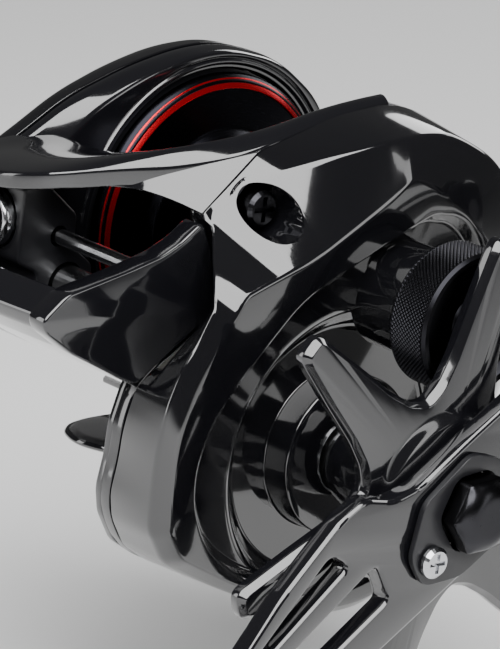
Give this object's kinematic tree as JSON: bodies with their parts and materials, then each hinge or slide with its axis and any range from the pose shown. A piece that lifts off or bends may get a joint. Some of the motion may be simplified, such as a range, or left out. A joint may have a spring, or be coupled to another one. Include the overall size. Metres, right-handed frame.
{
  "type": "baitcasting reel",
  "caption": "Low-profile casting reel with a line spool between two side shells, a level-wind line guide, star drag and a double handle.",
  "frame": {"origin": "middle of the foot's flat underside, where the rod's reel seat bears", "axes": "+Z from the seat up through the spool, +X along the spool axis towards the handle, -Y towards the rod tip"},
  "size_m": [0.0894, 0.0894, 0.0733],
  "materials": {
    "painted_black": "gloss black paint over cast and cut metal",
    "cover_black": "piano-black moulded shell",
    "satin_black": "satin black",
    "spool_black": "black anodised, turned",
    "steel": "turned stainless steel",
    "brass": "machined",
    "white_plastic": "acetal gear plastic",
    "fibre": "woven carbon friction disc",
    "ceramic": "polished grey ceramic",
    "rubber": "moulded grip",
    "red_anodised": "red anodised"
  },
  "bodies": {
    "frame": {"main_frame": "painted_black", "reel_foot": "painted_black", "foot_screw_1": "steel", "foot_screw_2": "steel", "gear_side_cover": "cover_black", "cover_screw": "steel", "palm_side_cover": "cover_black", "bearing_plate": "satin_black", "spool_end_bearing": "steel", "pinion_bearing": "steel", "cap_bearing": "steel", "main_shaft_bearing": "steel", "anti_reverse_bearing": "steel", "yoke_post_front": "steel", "yoke_post_rear": "steel", "yoke_spring_front": "steel", "yoke_spring_rear": "steel", "worm_bush_palm": "brass", "worm_bush_gear": "brass", "gear_access_plate": "cover_black", "guide_rod": "steel", "idler_axle": "steel"},
    "crank": {"main_shaft": "steel", "drive_gear": "brass", "main_gear": "brass", "drag_washer": "fibre", "key_washer": "steel", "clutch_sleeve": "steel", "handle_arm": "painted_black", "handle_nut": "steel", "nut_retainer": "satin_black", "retainer_screw": "steel", "knob_spindle_front": "steel", "knob_spindle_rear": "steel"},
    "star": {"star_drag": "painted_black"},
    "front_knob": {"knob_grip_front": "rubber", "knob_cap_front": "red_anodised"},
    "rear_knob": {"knob_grip_rear": "rubber", "knob_cap_rear": "red_anodised"},
    "spool_body": {"spool": "spool_black", "spool_shaft": "steel", "spool_cross_pin": "steel"},
    "yoke": {"clutch_yoke": "satin_black"},
    "pinion": {"pinion_gear": "brass"},
    "cam": {"clutch_cam": "steel"},
    "thumb": {"thumb_bar": "satin_black"},
    "idler": {"idler_gear": "white_plastic"},
    "worm": {"worm_shaft": "steel", "worm_gear": "white_plastic"},
    "carriage": {"line_guide_carriage": "satin_black", "eyelet_ring": "ceramic", "pawl": "brass", "pawl_cap": "satin_black"},
    "cast_cap": {"cast_control_cap": "satin_black", "cast_control_shim": "brass"},
    "dial": {"brake_dial": "satin_black"},
    "magnets": {"brake_magnet_ring": "steel"}
  },
  "joints": [
    {"name": "handle_spin", "type": "hinge", "parent": "frame", "child": "crank", "pos_m": [0.03, -0.0047, 0.00324], "axis": [1, 0, 0], "continuous": true},
    {"name": "star_turn", "type": "hinge", "parent": "crank", "child": "star", "pos_m": [0.036, -0.0047, 0.00324], "axis": [1, 0, 0], "range_deg": [-360, 360]},
    {"name": "front_knob_spin", "type": "hinge", "parent": "crank", "child": "front_knob", "pos_m": [0.05, -0.04092, -0.02346], "axis": [1, 0, 0], "continuous": true},
    {"name": "rear_knob_spin", "type": "hinge", "parent": "crank", "child": "rear_knob", "pos_m": [0.05, 0.03152, 0.02994], "axis": [1, 0, 0], "continuous": true},
    {"name": "spool_spin", "type": "hinge", "parent": "frame", "child": "spool_body", "pos_m": [0, 0, 0.0215], "axis": [1, 0, 0], "continuous": true},
    {"name": "yoke_slide", "type": "slide", "parent": "frame", "child": "yoke", "axis": [1, 0, 0], "range_m": [0, 0.0012], "deforming": ["yoke_spring_front", "yoke_spring_rear"]},
    {"name": "pinion_spin", "type": "hinge", "parent": "yoke", "child": "pinion", "pos_m": [0.018, 0, 0.0215], "axis": [1, 0, 0], "continuous": true},
    {"name": "cam_turn", "type": "hinge", "parent": "frame", "child": "cam", "pos_m": [0.0134, 0, 0.0215], "axis": [1, 0, 0], "range_deg": [-9.4, 0]},
    {"name": "thumb_press", "type": "slide", "parent": "frame", "child": "thumb", "axis": [0, 0, -1], "range_m": [0, 0.0025]},
    {"name": "idler_spin", "type": "hinge", "parent": "frame", "child": "idler", "pos_m": [0.0136, -0.01812, 0.00936], "axis": [1, 0, 0], "continuous": true},
    {"name": "worm_spin", "type": "hinge", "parent": "frame", "child": "worm", "pos_m": [0, -0.0283, 0.0186], "axis": [1, 0, 0], "continuous": true},
    {"name": "guide_traverse", "type": "slide", "parent": "frame", "child": "carriage", "axis": [1, 0, 0], "range_m": [-0.0005, 0.013]},
    {"name": "cast_control_turn", "type": "hinge", "parent": "frame", "child": "cast_cap", "pos_m": [0.031, 0, 0.0215], "axis": [1, 0, 0], "range_deg": [-360, 360]},
    {"name": "brake_dial_turn", "type": "hinge", "parent": "frame", "child": "dial", "pos_m": [-0.0233, 0, 0.0215], "axis": [1, 0, 0], "range_deg": [0, 270]},
    {"name": "brake_magnet_slide", "type": "slide", "parent": "frame", "child": "magnets", "axis": [1, 0, 0], "range_m": [0, 0.0012]}
  ],
  "couplings": [
    {"joint": "pinion_spin", "follows": "handle_spin", "ratio": -6.3},
    {"joint": "spool_spin", "follows": "handle_spin", "ratio": -6.3},
    {"joint": "idler_spin", "follows": "handle_spin", "ratio": -0.68571},
    {"joint": "worm_spin", "follows": "handle_spin", "ratio": 1.2},
    {"joint": "yoke_slide", "follows": "thumb_press", "ratio": 0.48},
    {"joint": "cam_turn", "follows": "thumb_press", "rad_per_m": -65.4}
  ]
}
